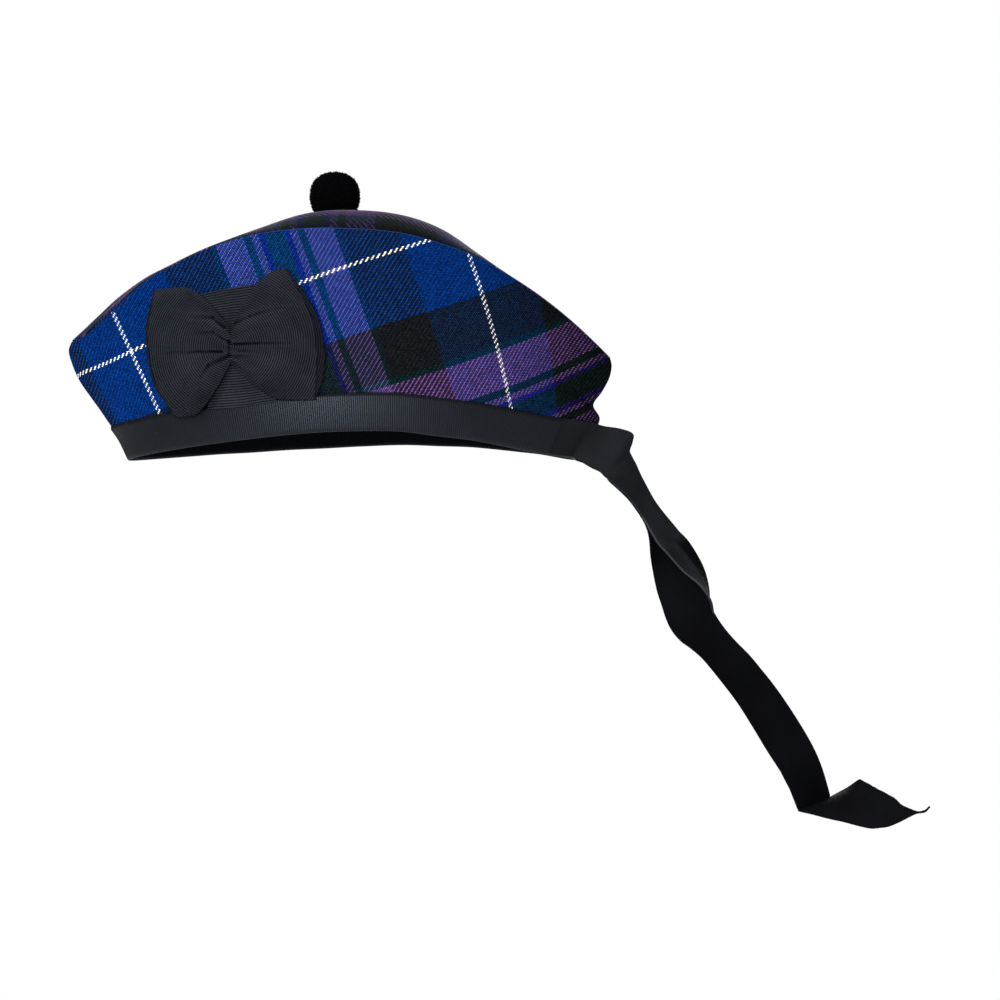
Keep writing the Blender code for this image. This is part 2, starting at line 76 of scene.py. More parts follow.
class Wire:
    # one socket of a material; sums on wires add Math nodes
    __add__ = __radd__ = operator("ADD")
    __sub__ = operator("SUBTRACT")
    __mul__ = __rmul__ = operator("MULTIPLY")
    __truediv__ = operator("DIVIDE")
    __pow__ = operator("POWER")
    __mod__ = operator("FLOORED_MODULO")
    __lt__ = operator("LESS_THAN")
    __gt__ = operator("GREATER_THAN")
    floor = operator("FLOOR")

    def __init__(self, tree, socket=None):
        self.tree = tree
        self.socket = socket

    def __rsub__(self, other):
        return self.maths("SUBTRACT", other, self)

    def maths(self, operation, *values):
        return self.node("ShaderNodeMath", {"operation": operation}, enumerate(values))

    def node(self, kind, settings=(), values=(), output=0):
        made = self.tree.nodes.new(kind)
        for name, value in dict(settings).items():
            setattr(made, name, value)
        plug(self.tree, made, values)
        return Wire(self.tree, made.outputs[output])

    def other(self, output):
        # another output of the same node
        return Wire(self.tree, self.socket.node.outputs[output])

    def hump(self):
        # 0 at whole numbers and 1 halfway between them
        return 1 - (self.maths("FRACT", self) * 2 - 1) ** 2

    def sway(self, amount):
        # from 1 less half the amount to 1 plus half of it, as self runs from 0 to 1
        return 1 + (self - 0.5) * amount

    def clamp(self, low=0.0, high=1.0):
        return self.node("ShaderNodeClamp", {}, {"Value": self, "Min": low, "Max": high})

    def mixColour(self, first, second):
        # self is the factor
        settings = {"data_type": "RGBA", "blend_type": "MIX"}
        return self.node("ShaderNodeMix", settings, {0: self, 6: first, 7: second}, 2)

    def parts(self):
        # the first two parts of a place
        first = self.node("ShaderNodeSeparateXYZ", {}, {0: self})
        return first, first.other(1)

    def uvMap(self, title):
        return self.node("ShaderNodeUVMap", {"uv_map": title})

    def noise(self, scale, detail, roughness=None, dimensions="2D"):
        # self is the place
        values = {"Vector": self, "Scale": scale, "Detail": detail, "Roughness": roughness}
        return self.node("ShaderNodeTexNoise", {"noise_dimensions": dimensions}, values)

    def bump(self, strength, distance):
        # self is the height
        return self.node("ShaderNodeBump", {}, {"Height": self, "Strength": strength, "Distance": distance})


def newMaterial(name):
    material = bpy.data.materials.new(name)
    material.use_nodes = True
    return material, Wire(material.node_tree)


def setShader(material, values):
    plug(material.node_tree, material.node_tree.nodes["Principled BSDF"], values)
    return material


def linear(red, green, blue):
    # a colour, 0 to 255, as the shader wants it
    parts = [((c / 255 + 0.055) / 1.055) ** 2.4 if c > 10 else c / 3294.6 for c in (red, green, blue)]
    return (*parts, 1.0)


def rows(names, *values):
    # a table: one dictionary for each row of values
    return [dict(zip(names.split(), row)) for row in values]


def bent(t, first, last, lead, trail):
    # smooth path from first to last, with the slopes lead and trail at its ends
    return first + t * t * (3 - 2 * t) * (last - first) + t * (1 - t) ** 2 * lead - t * t * (1 - t) * trail


def dense(table, key, column, samples=4001):
    # a table's column, bent smoothly through its rows and sampled finely
    keys, values = (np.array([row[name] for row in table], float) for name in (key, column))
    number = np.arange(len(table))
    before, after = np.maximum(number - 1, 0), np.minimum(number + 1, number[-1])
    slope = (values[after] - values[before]) / (keys[after] - keys[before])
    place = np.linspace(keys[0], keys[-1], samples)
    k = np.clip(np.searchsorted(keys, place) - 1, 0, number[-1] - 1)
    step = keys[k + 1] - keys[k]
    t = (place - keys[k]) / step
    return place, bent(t, values[k], values[k + 1], step * slope[k], step * slope[k + 1])


def atPlace(table, place):
    # every column of a table, at places along its first one
    key, *others = table[0]
    return {name: np.interp(place, *dense(table, key, name)) for name in others}


def smooth(t):
    t = np.clip(t, 0.0, 1.0)
    return t * t * (3 - 2 * t)


def rounded(t):
    # 0 to 1 along a quarter circle
    return 1 - np.sqrt(np.maximum(1 - t ** 2, 0))


def unit(vectors):
    length = np.linalg.norm(vectors, axis=-1, keepdims=True)
    return vectors / np.maximum(length, 1e-12)


def beside(*grids):
    # grids of numbers side by side, as points or a UV map hold them
    return np.stack(np.broadcast_arrays(*grids), -1)


def travelled(points):
    # how far along its line each point lies
    steps = np.linalg.norm(np.diff(points, axis=0), axis=-1)
    return np.concatenate([steps[:1] * 0, np.cumsum(steps, axis=0)])


def gridNormals(grid):
    # directions square to a grid of points
    return unit(np.cross(np.gradient(grid, axis=0), np.gradient(grid, axis=1)))


def relax(grid, times):
    # evens out a grid of numbers, edges kept
    for _ in range(times):
        inner = grid[1:-1, 1:-1]
        around = grid[:-2, 1:-1] + grid[2:, 1:-1] + grid[1:-1, :-2] + grid[1:-1, 2:]
        grid[1:-1, 1:-1] = (inner + around / 4) / 2
    return grid


def addMesh(name, points, faces, material, uv=None, sharp=50):
    mesh = bpy.data.meshes.new(name)
    mesh.from_pydata(np.asarray(points, float).tolist(), [], faces)
    mesh.shade_smooth()
    if sharp:
        mesh.set_sharp_from_angle(angle=math.radians(sharp))
    mesh.materials.append(material)
    piece = bpy.data.objects.new(name, mesh)
    bpy.context.collection.objects.link(piece)
    if uv is not None:
        addMap(piece, "cloth", uv)
    return piece


def addMap(piece, title, values):
    # a pair of numbers for each point, kept as a UV map
    mesh = piece.data
    layer = mesh.uv_layers.new(name=title)
    corners = np.zeros(len(mesh.loops), np.int64)
    mesh.loops.foreach_get("vertex_index", corners)
    layer.data.foreach_set("uv", np.asarray(values, np.float32).reshape(-1, 2)[corners].ravel())


def tube(rings, columns):
    # faces of a tube, ring by ring
    faces = []
    for ring in range(rings):
        for n in range(columns):
            a, b = ring * columns + n, ring * columns + (n + 1) % columns
            faces.append((a, b, b + columns, a + columns))
    return faces


def faceOut(piece, points, faces):
    # turns a closed mesh of quads right side out, by the sign of its volume
    a, b, c, d = points[np.array(faces)].transpose(1, 0, 2)
    if np.sum(a * (np.cross(b, c) + np.cross(c, d))) < 0:
        piece.data.flip_normals()


def addWall(name, outer, inner, uv, material):
    # closed wall between two grids; uv holds one pair for each point of the outer grid
    count, columns = outer.shape[:2]
    deep = count * columns
    index = np.arange(deep).reshape(count, columns)
    quads = beside(index[:-1, :-1], index[:-1, 1:], index[1:, 1:], index[1:, :-1]).reshape(-1, 4)
    edge = np.concatenate([index[0, :], index[1:, -1], index[-1, -2::-1], index[-2:0:-1, 0]]).tolist()
    strip = [(b, a, deep + a, deep + b) for a, b in zip(edge, edge[1:] + edge[:1])]
    faces = quads.tolist() + (quads[:, ::-1] + deep).tolist() + strip
    points = np.concatenate([outer.reshape(-1, 3), inner.reshape(-1, 3)])
    piece = addMesh(name, points, faces, material, np.stack([uv, uv]))
    faceOut(piece, points, faces)
    return piece


def dress(piece, node):
    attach(piece, "root")
    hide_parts(node)


# camera and studio
camera = dict(place=(0.0819, -1.6, -0.148), looksAt=(0.0819, 0.0, -0.0221), lens=104.4, sensor=36.0)
studio = dict(
    floorDrop=0.4, floorRadius=2.9, floorSides=96, floorColour=linear(150, 150, 149), floorGlow=0.5,
    white=(1.0, 1.0, 1.0, 1.0), fill=0.1, lampsAim=(0.02, 0.0, 0.05), clipEnd=60.0)
lamps = rows(
    "name place size power glossy",
    ("key", (-0.95, -1.5, 0.66), 0.8, 14.4, False),
    ("front", (-0.19, -1.62, 0.14), 0.3, 7.7, True),
    ("overhead", (-0.1, 0.1, 1.25), 1.0, 5.0, True),
    ("back", (0.35, 1.7, 0.5), 1.2, 13.0, True))


def stand(thing, place, target):
    # puts a camera or lamp at its place and turns it to its target
    thing.location = place
    thing.rotation_euler = (Vector(target) - Vector(place)).to_track_quat("-Z", "Y").to_euler()
    bpy.context.scene.collection.objects.link(thing)


def addStudio():
    scene = bpy.context.scene
    scene.view_settings.view_transform = "Standard"
    lens = bpy.data.cameras.new("camera")
    lens.lens, lens.sensor_width = camera["lens"], camera["sensor"]
    lens.dof.use_dof = False
    lens.clip_end = studio["clipEnd"]
    eye = bpy.data.objects.new("camera", lens)
    stand(eye, camera["place"], camera["looksAt"])
    scene.camera = eye

    turn = 2 * np.pi * np.arange(studio["floorSides"]) / studio["floorSides"]
    radius, height = studio["floorRadius"], cadLow.z - studio["floorDrop"]
    ring = beside(radius * np.cos(turn), radius * np.sin(turn), height)
    paint = setShader(newMaterial("floor")[0], {
        "Base Color": studio["floorColour"], "Roughness": 1.0, "Specular IOR Level": 0.0,
        "Emission Color": studio["white"], "Emission Strength": studio["floorGlow"]})
    addMesh("floor", ring, [tuple(range(len(turn)))], paint, sharp=0)

    world = bpy.data.worlds.new("studio")
    world.use_nodes = True
    # the white backdrop is seen at full strength and lights the cap at the lower fill strength
    seen = Wire(world.node_tree).node("ShaderNodeLightPath")
    strength = seen * (1 - studio["fill"]) + studio["fill"]
    sky = world.node_tree.nodes["Background"]
    plug(world.node_tree, sky, {"Color": studio["white"], "Strength": strength})
    scene.world = world
    for lamp in lamps:
        light = bpy.data.lights.new(lamp["name"], "AREA")
        light.shape, light.size, light.energy = "DISK", lamp["size"], lamp["power"]
        holder = bpy.data.objects.new(lamp["name"], light)
        holder.visible_glossy = lamp["glossy"]
        stand(holder, lamp["place"], studio["lampsAim"])


addStudio()
print("studio and camera set")


# materials
# colour of each thread, and how strongly it hides the one that crosses it
threads = {row["name"]: row for row in rows(
    "name warp weft",
    ("white", (232, 237, 243, 4), (232, 237, 243, 4)), ("blue", (5, 50, 121, 1), (5, 50, 121, 1)),
    ("black", (25, 27, 30, 2.2), (23, 26, 30, 2.2)), ("bottle", (12, 44, 48, 1.8), (12, 42, 44, 1.8)),
    ("purple", (106, 88, 164, 1), (100, 66, 124, 1.5)), ("green", (13, 61, 64, 1), (16, 36, 30, 1)),
    ("indigo", (22, 28, 152, 1), (38, 28, 120, 1)))}
# stripes from the white line in the middle of the blue to the middle of the green, with the far edge of
# each in metres, for both kinds of thread
stripes = rows(
    "colour warp weft",
    ("white", 0.00105, 0.0009), ("blue", 0.0339, 0.0369), ("black", 0.0638, 0.0652),
    ("bottle", 0.0675, 0.0692), ("purple", 0.0834, 0.0897), ("green", 0.0875, 0.0938),
    ("purple", 0.0918, 0.0972), ("indigo", 0.0952, 0.0998), ("green", 0.1011, 0.1056))
# noises: scale, detail and roughness
tartan = dict(
    warpThread=0.00085, weftThread=0.00069, twillSteps=4, warpHidden=0.06, warpShown=0.68, blend=2.0,
    strongest=4, plain=0.8, mixed=2.6, most=1.85, uneven=0.9, crisp=0.94, crispFrom=0.9, lines=0.4,
    float=2.2, waver=0.6, waverNoise=(90.0, 1.0), speck=1.0, speckNoise=(2100.0, 2.0, 0.7), speckRise=0.4,
    grain=0.8, grainNoise=(720.0, 1.0), cloud=0.2, cloudNoise=(60.0, 3.0), darkest=0.12, lightest=4.0,
    relief=0.0002, bump=0.6, roughness=0.95, specular=0.05, sheenRoughness=0.4, seamTall=0.0007,
    seamHighlightColour=linear(70, 96, 150), seamLight=0.55, backWide=0.06, backShade=0.42)


def stripeColours(number, way):
    # colour of a thread by its number in the mirrored sett, with its strength as alpha
    share = number * (tartan[way + "Thread"] / stripes[-1][way])
    found = share.node("ShaderNodeValToRGB", {}, {"Fac": share.maths("PINGPONG", share, 1.0)})
    ramp = found.socket.node.color_ramp
    ramp.interpolation = "CONSTANT"
    while len(ramp.elements) < len(stripes):
        ramp.elements.new(1.0)
    starts = [0.0] + [stripe[way] / stripes[-1][way] for stripe in stripes[:-1]]
    for element, start, stripe in zip(ramp.elements, starts, stripes):
        *colour, strength = threads[stripe["colour"]][way]
        soft = [c ** (1 / tartan["blend"]) for c in linear(*colour)[:3]]
        element.position = start
        element.color = soft + [strength / tartan["strongest"]]
    return found


# a copy of the cloth can be painted darker all over, as painted shade
def tartanMaterial(name, paintedShading=1.0, sheen=0.0, side=False):
    material, start = newMaterial(name)
    place = start.uvMap("cloth")
    across, along = place.parts()
    waver, speck, cloud, grain = (place.noise(*tartan[key + "Noise"])
                                  for key in ("waver", "speck", "cloud", "grain"))
    bend = (waver - 0.5) * tartan["waver"]
    warpCount = across / tartan["warpThread"] + 0.5 + bend
    weftCount = along / tartan["weftThread"] + 0.5 + bend
    warpNumber, weftNumber = warpCount.floor(), weftCount.floor()
    steps = tartan["twillSteps"]
    warpOver = ((warpNumber - weftNumber) % steps) < steps / 2

    warpColour, weftColour = stripeColours(warpNumber, "warp"), stripeColours(weftNumber, "weft")
    # threads over two and under two; the wool blurs the one beneath into the one on top, by their strengths,
    # and the white line stays crisp
    warpStrength, weftStrength = warpColour.other(1), weftColour.other(1)
    shown = warpOver * tartan["warpShown"] + tartan["warpHidden"]
    warpShare = shown * warpStrength
    blurred = warpShare / (warpShare + (1 - shown) * weftStrength)
    crisp = start.maths("MAXIMUM", warpStrength, weftStrength) > tartan["crispFrom"]
    mix = blurred + crisp * (warpOver * tartan["crisp"] + (1 - tartan["crisp"]) / 2 - blurred)
    blend = mix.mixColour(weftColour, warpColour)
    woven = start.node("ShaderNodeGamma", {}, {"Color": blend, "Gamma": tartan["blend"]})
    both = {0: warpColour, 1: weftColour}
    apart = start.node("ShaderNodeVectorMath", {"operation": "DISTANCE"}, both, "Value")
    contrast = (apart * tartan["mixed"] + tartan["plain"]).clamp(0, tartan["most"])

    # each float is a small rounded hump along and across its thread, painted lighter in its middle and darker
    # at its ends and in the gaps, as painted highlight and shade
    warpFloat = ((weftCount - warpNumber + 1) % steps) / 2
    weftFloat = ((warpCount - weftNumber - 2) % steps) / 2
    hump = (warpOver * (warpCount.hump() * warpFloat.hump())
            + (1 - warpOver) * (weftCount.hump() * weftFloat.hump()))
    # no two crossings are quite alike
    crossing = start.node("ShaderNodeCombineXYZ", {}, {0: warpNumber, 1: weftNumber})
    luck = start.node("ShaderNodeTexWhiteNoise", {"noise_dimensions": "2D"}, {"Vector": crossing})
    light = (1 + contrast * (hump * tartan["float"] - 1)) * luck.sway(tartan["uneven"]) * paintedShading
    light = light * speck.sway(tartan["speck"]) * cloud.sway(tartan["cloud"]) * grain.sway(tartan["grain"])
    light = light * warpOver.sway(-tartan["lines"])
    if side:
        # painted shade: the cloth is darker towards the back end, where it turns away from the light
        light = light * (1 - (across / tartan["backWide"]).clamp() * tartan["backShade"])
    light = light.clamp(tartan["darkest"], tartan["lightest"])
    shaded = start.node("ShaderNodeVectorMath", {"operation": "SCALE"}, {0: woven, "Scale": light})
    if side:
        # painted highlight: the turned edge along the top seam is painted lighter, as if it catches the light
        below = start.uvMap("edge").parts()[1]
        shaded = ((below < tartan["seamTall"]) * tartan["seamLight"]).mixColour(shaded, tartan["seamHighlightColour"])
    height = hump + speck * tartan["speckRise"]
    return setShader(material, {
        "Base Color": shaded, "Normal": height.bump(tartan["bump"], tartan["relief"]),
        "Roughness": tartan["roughness"], "Specular IOR Level": tartan["specular"], "Sheen Weight": sheen,
        "Sheen Roughness": tartan["sheenRoughness"]})


# dark, light: colours, 0 to 255. pitch, relief: width and height of the ribs in metres.
ribbons = {row["name"]: row for row in rows(
    "name dark light pitch contrast relief specular roughness groove tint",
    ("band", (6, 6, 7), (33, 34, 38), 0.00114, 0.8, 0.0001, 0.48, 0.3, 0.6, (0.66, 0.78, 1, 1)),
    ("wings", (6, 6, 8), (62, 65, 75), 0.00125, 0.85, 0.00022, 0.08, 0.5, 0, (0.7, 0.8, 1, 1)),
    ("upright", (6, 6, 8), (64, 67, 76), 0.0015, 0.85, 0.00022, 0.08, 0.5, 0, (0.7, 0.8, 1, 1)),
    # nearTail and farTail are one ribbon: the near tail is a copy painted lighter, as painted light, and the
    # far tail a copy painted darker, as painted shade
    ("nearTail", (17, 17, 19), (72, 75, 83), 0.00125, 0.45, 0.00006, 0.03, 0.7, 0, (1, 1, 1, 1)),
    ("farTail", (8, 8, 10), (27, 28, 33), 0.00125, 0.45, 0.00006, 0.03, 0.7, 0, (1, 1, 1, 1)))}
# ribs and yarns of every ribbon. flat: the tone between its ribs. low and gain: what a noise leaves and adds.
weave = dict(
    waver=0.3, waverNoise=(140.0, 1.0), ribPower=2.2, yarn=0.0009, yarnShift=2.4, yarnShare=0.45,
    flat=0.45, speckNoise=(1500.0, 2.0, 0.7), speckLow=0.1, speckGain=1.7, cloudNoise=(45.0, 3.0),
    cloudLow=0.36, cloudGain=1.3, foldDark=450, foldLow=0.15, foldHigh=1.8, bump=0.8, ribRise=0.8,
    yarnRise=0.2, speckRise=0.25)
turnedInShadeColour = (0.0001, 0.0001, 0.0001, 1.0)


def ribbonMaterial(name, innerFrom=None, look=None, folded=False):
    # ribs run across the ribbon; the cloth map holds the place along it and across it, in metres
    kind = ribbons[name]
    material, start = newMaterial(name + "Ribbon")
    place = start.uvMap("cloth")
    along, across = place.parts()
    waver, speck, cloud = (place.noise(*weave[key + "Noise"]) for key in ("waver", "speck", "cloud"))
    count = along / kind["pitch"] + (waver - 0.5) * weave["waver"]
    rib = count.hump()
    angle = across * (2 * np.pi / weave["yarn"]) + count.floor() * weave["yarnShift"]
    yarn = start.maths("SINE", angle) * 0.5 + 0.5
    # painted shade between the ribs: the tone is dark in the grooves and light on the ribs
    tone = rib ** weave["ribPower"] * kind["contrast"] * (1 - weave["yarnShare"] + yarn * weave["yarnShare"])
    tone = tone + (1 - kind["contrast"]) * weave["flat"]
    tone = tone * (weave["speckLow"] + speck * weave["speckGain"])
    tone = tone * (weave["cloudLow"] + cloud * weave["cloudGain"])
    if folded:
        # the map of folds holds their depth in metres; painted shade in the grooves and painted highlight on
        # the ridges
        fold = start.uvMap("fold").parts()[0]
        tone = tone * (1 - fold * weave["foldDark"]).clamp(weave["foldLow"], weave["foldHigh"])
    colour = tone.clamp().mixColour(linear(*kind["dark"]), linear(*kind["light"]))
    roughness = kind["roughness"]
    if innerFrom is not None:
        # the turned-in part is painted near black, as painted shade in the dark of the cap, and grooves
        # between the ribs are duller
        inner = across < innerFrom
        colour = inner.mixColour(colour, turnedInShadeColour)
        dull = (1 - rib) * kind["groove"] + kind["roughness"]
        roughness = dull + inner * (1 - dull)
    if look:
        # darker by the band, then a painted highlight along one edge and painted shade where the other edge
        # turns away from the light
        near = (1 - along / look["rootLong"]).clamp() * look["rootMix"]
        colour = near.mixColour(colour, look["rootColour"])
        lit = (across < -look["litEdge"]) * (along > look["litFrom"]) * look["litMix"]
        colour = lit.mixColour(colour, look["litColour"])
        away = ((across - look["awayEdge"]) / look["awaySoft"]).clamp()
        away = away * ((along - look["awayFrom"]) / look["awayStart"]).clamp() * look["awayMix"]
        colour = away.mixColour(colour, look["awayShadeColour"])
    height = rib * weave["ribRise"] + yarn * weave["yarnRise"] + speck * weave["speckRise"]
    return setShader(material, {
        "Base Color": colour, "Normal": height.bump(weave["bump"], kind["relief"]), "Roughness": roughness,
        "Specular IOR Level": kind["specular"], "Specular Tint": kind["tint"]})


# the shape of the cap, in shares of the solids' own sizes
sideLow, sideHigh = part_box("side_left")
capLength = sideHigh.x - sideLow.x
cap = dict(
    rimLength=0.8184 * capLength, noseReach=0.11365 * capLength, backReach=0.06793 * capLength,
    rimWidth=0.088, rimArch=0.0123, rimRoundness=0.55, height=sideHigh.z, belly=0.007, cloth=0.002,
    gap=0.0003, edgeFade=5, crownWidth=0.064, crownRoundness=0.62, crownRise=0.0172, crownDome=2.6,
    creaseDepth=0.0092, creaseWidth=0.42, bandHeight=0.0195, bandInside=0.015, bandRibbon=0.001,
    bandPull=0.0012, bandStep=0.05)
# along: share of the length from the nose. seam: height of the top seam. rise: how far the crown stands up.
# rimLeft, rimRight: height of the rim on either side.
sections = rows(
    "along seam rise rimLeft rimRight",
    (0, 0.532, 0, 0, 0), (0.02, 0.54, 0.3, 0.05, 0.08), (0.05, 0.589, 0.45, 0.12, 0.18),
    (0.09, 0.67, 0.5, 0.22, 0.29), (0.14, 0.774, 0.29, 0.34, 0.41), (0.19, 0.841, 0.16, 0.45, 0.52),
    (0.26, 0.917, 0.13, 0.6, 0.63), (0.34, 0.973, 0.36, 0.76, 0.77), (0.43, 0.998, 0.84, 0.9, 0.87),
    (0.51, 1, 1, 0.96, 0.96), (0.61, 0.982, 0.98, 0.96, 1.02), (0.69, 0.934, 0.8, 0.78, 0.95),
    (0.76, 0.872, 0.27, 0.64, 0.88), (0.81, 0.803, 0, 0.49, 0.77), (0.87, 0.711, 0, 0.28, 0.6),
    (0.93, 0.601, 0, 0.1, 0.4), (1, 0.453, 0, 0.03, 0.03))
# front and back edges from the rim up
edges = rows(
    "up nose back",
    (0, 0, 0), (0.16, 0.15, 0.28), (0.3, 0.34, 0.58), (0.4, 0.47, 0.67), (0.53, 0.65, 0.5),
    (0.66, 0.82, 0.73), (0.8, 0.94, 0.93), (0.92, 1, 1), (1, 0.95, 0.97))
lines = {name: dense(table, key, name) for table, key in ((sections, "along"), (edges, "up"))
         for name in table[0] if name != key}


def line(name, place):
    return np.interp(place, *lines[name])


def oval(along, roundness):
    return np.maximum(4 * along * (1 - along), 0.0) ** roundness


def stationAlong(u):
    return (1 - np.cos(np.pi * u)) / 2


def sidePoint(u, up, side):
    u, up = np.broadcast_arrays(u, up)
    along = stationAlong(u)
    rim = line("rimLeft" if side < 0 else "rimRight", along)
    rimZ = cap["gap"] + cap["bandRibbon"] + cap["rimArch"] * rim
    seamZ = cap["height"] * line("seam", along)
    noseTop = cap["noseReach"] * edges[-1]["nose"]
    backTop = cap["backReach"] * edges[-1]["back"]
    nose = cap["noseReach"] * line("nose", up)
    back = cap["backReach"] * line("back", up)
    x = (along - 0.5) * cap["rimLength"] + up * (along * backTop - (1 - along) * noseTop)
    x = x - (1 - along) ** cap["edgeFade"] * (nose - up * noseTop)
    x = x + along ** cap["edgeFade"] * (back - up * backTop)
    z = rimZ + up * (seamZ - rimZ)
    rimOval = oval(along, cap["rimRoundness"])
    rimHalf = cap["rimWidth"] / 2 * rimOval
    seamHalf = cap["crownWidth"] / 2 * oval(along, cap["crownRoundness"])
    above = smooth((up - cap["bandHeight"] / (seamZ - rimZ)) / cap["bandStep"])
    y = rimHalf + up * (seamHalf - rimHalf) + cap["belly"] * rimOval * 4 * up * (1 - up)
    y = y - cap["bandPull"] * rimOval * (1 - above) + cap["gap"] / 2
    return beside(x, side * y, z)


def sideUpward(u, up, side, step=0.003):
    return unit(sidePoint(u, np.minimum(up + step, 1), side) - sidePoint(u, np.maximum(up - step, 0), side))


def sideNormal(u, up, side, step=0.003):
    u, up = np.broadcast_arrays(u, up)
    forward = sidePoint(np.minimum(u + step, 1), up, side) - sidePoint(np.maximum(u - step, 0), up, side)
    forward[u <= 0] = (0, side, 0)
    forward[u >= 1] = (0, -side, 0)
    return unit(np.cross(forward, sideUpward(u, up, side)) * -side)


def offSide(u, up, side, out, down=0.0):
    # a point off the outer face of a side, kept on its own side of the middle plane
    point = sidePoint(u, up, side) + sideNormal(u, up, side) * np.asarray(out)[..., None]
    point = point - sideUpward(u, up, side) * np.asarray(down)[..., None]
    point[..., 1] = side * np.maximum(side * point[..., 1], cap["gap"] / 2)
    return point


def sideHeight(u, side):
    return np.linalg.norm(sidePoint(u, 1.0, side) - sidePoint(u, 0.0, side), axis=-1)


def ripple(first, second, seed, shortest=0.03, longest=0.12, waves=9, peak=1.4):
    # slow uneven swell from a few crossing waves, between about -1 and 1
    dice = np.random.default_rng(seed)
    total = np.zeros(np.broadcast(first, second).shape)
    for _ in range(waves):
        length = dice.uniform(shortest, longest)
        turn = dice.uniform(0, 2 * np.pi)
        way = first * math.cos(turn) + second * math.sin(turn)
        total += np.sin(way * 2 * np.pi / length + dice.uniform(0, 2 * np.pi))
    return total / math.sqrt(waves) / peak


# sides
sides = dict(
    stations=260, rows=96, edgeRows=9, edgeRoll=0.0006, edgeZone=0.0016, swell=0.00022, swellSeed=5,
    swellFade=0.1, swellOval=0.5, drawnIn=0.00013, innerShare=0.9)
# how the check lies on a side, read where it is seen from 1.6 m on the wearer's left, in thousandths of that
# view. warps: lines along the warp, with their place at its level, their slope and bend, and their place in
# the sett in metres.
warps = rows(
    "place lean bend sett",
    (10, 0.5, 0, -0.275), (71.2, 0.487, 0, -0.2361), (121, 0.465, 0, -0.2022), (188.3, 0.43, 0, -0.1683),
    (248.1, 0.39, 0, -0.1347), (309.1, 0.362, 0, -0.1011), (370.6, 0.363, 0, -0.0675),
    (432, 0.34, 0, -0.0339), (492.6, 0.275, -0.0005, 0), (547, 0.19, -0.0007, 0.0339),
    (604, 0.12, -0.0007, 0.062), (680, 0.08, -0.0007, 0.085))
# wefts: height of the white line across the side
wefts = rows(
    "place down",
    (20, 394), (70, 377), (94.7, 367.9), (113.5, 359.7), (140.5, 347), (200, 322.5), (250, 302),
    (307.5, 279.9), (365.5, 259.8), (413, 245), (450, 233.6), (525, 207.2), (575, 185), (625, 160))
# the view, and where along the cap the ends of a side turn away from it
view = dict(
    wide=1000, middle=500, level=330, rounds=6, weftScale=0.00052, front=-0.147, back=0.15,
    endScale=0.00054)


def seenFromSide(points):
    # where points of a side stand in the view of that side
    eyeX, eyeY, eyeZ = camera["place"]
    tilt = math.atan2(camera["looksAt"][2] - eyeZ, -eyeY)
    focus = view["wide"] * camera["lens"] / camera["sensor"]
    away = -eyeY - np.abs(points[..., 1])
    rise = points[..., 2] - eyeZ
    depth = away * math.cos(tilt) + rise * math.sin(tilt)
    right = view["middle"] + focus * (points[..., 0] - eyeX) / depth
    down = view["middle"] - focus * (rise * math.cos(tilt) - away * math.sin(tilt)) / depth
    return right, down


def clothPlace(points):
    # place on the cloth in metres, across the warp and across the weft, for a grid of points on a side
    x = points[..., 0]
    right, down = seenFromSide(points)
    travel = travelled(points[..., :2])
    middle = len(points) // 2
    spare = travel - travel[middle] + x[middle] - x
    # the ends turn away from the view, and the cloth runs on round them
    front, back = (np.array([np.interp(view[end], x[:, k], spare[:, k]) for k in range(x.shape[1])])
                   for end in ("front", "back"))
    right = right + (np.minimum(spare - front, 0) + np.maximum(spare - back, 0)) / view["endScale"]
    below = down - view["level"]
    place = right
    for _ in range(view["rounds"]):
        place = right - np.interp(place, *warpLean) * below - np.interp(place, *warpBend) * below ** 2
    return beside(np.interp(place, *warpSett), -(down - np.interp(right, *weftLine)) * view["weftScale"])


warpLean, warpBend, warpSett = (dense(warps, "place", key) for key in ("lean", "bend", "sett"))
weftLine = dense(wefts, "place", "down")


def addSide(name, node, side, material):
    u = np.linspace(0, 1, sides["stations"] + 1)[:, None]
    zone = sides["edgeZone"] / float(sideHeight(0.5, side))
    up = np.concatenate([np.linspace(0, 1 - zone, sides["rows"] + 1),
                         1 - zone * (1 - np.linspace(0, 1, sides["edgeRows"] + 1)[1:])])[None, :]
    face = sidePoint(u, up, side)
    tall = sideHeight(u, side)
    fade = smooth((up - cap["bandHeight"] / tall) / sides["swellFade"])
    fade = fade * smooth((1 - up) / sides["swellFade"]) * oval(stationAlong(u), sides["swellOval"])
    swell = sides["swell"] * ripple(face[..., 0], face[..., 2], sides["swellSeed"]) * fade
    roll = sides["edgeRoll"] * rounded(smooth((up - 1 + zone) / zone))
    outer = offSide(u, up, side, swell - roll)
    inner = offSide(u, up, side, -cap["cloth"] * sides["innerShare"])
    for wall in (outer, inner):
        wall[..., 1] -= side * sides["drawnIn"]
    piece = addWall(name, outer, inner, clothPlace(face), material)
    # how far each point lies below the top seam
    addMap(piece, "edge", beside(0.0, np.stack([(1 - up) * tall] * 2)))
    dress(piece, node)


tartanSide = tartanMaterial("tartan", side=True)
addSide("leftSideCloth", "side_left", -1, tartanSide)
addSide("rightSideCloth", "side_right", 1, tartanSide)
print("sides cut")


# crown
# the crown's tartan is painted darker than the sides', as painted shade on the crown
crown = dict(
    stations=240, columns=72, tuckZone=0.1, roll=0.0004, rollFull=0.01, tipShare=0.0006, thinEdge=0.0003,
    thicker=0.0015, thickFrom=0.003, thickOver=0.004, warpFrom=0.081, weftFrom=0.0945, frontFrom=-0.05,
    frontScale=0.5, skew=0.08, paintedShading=0.42, sheen=0.3)


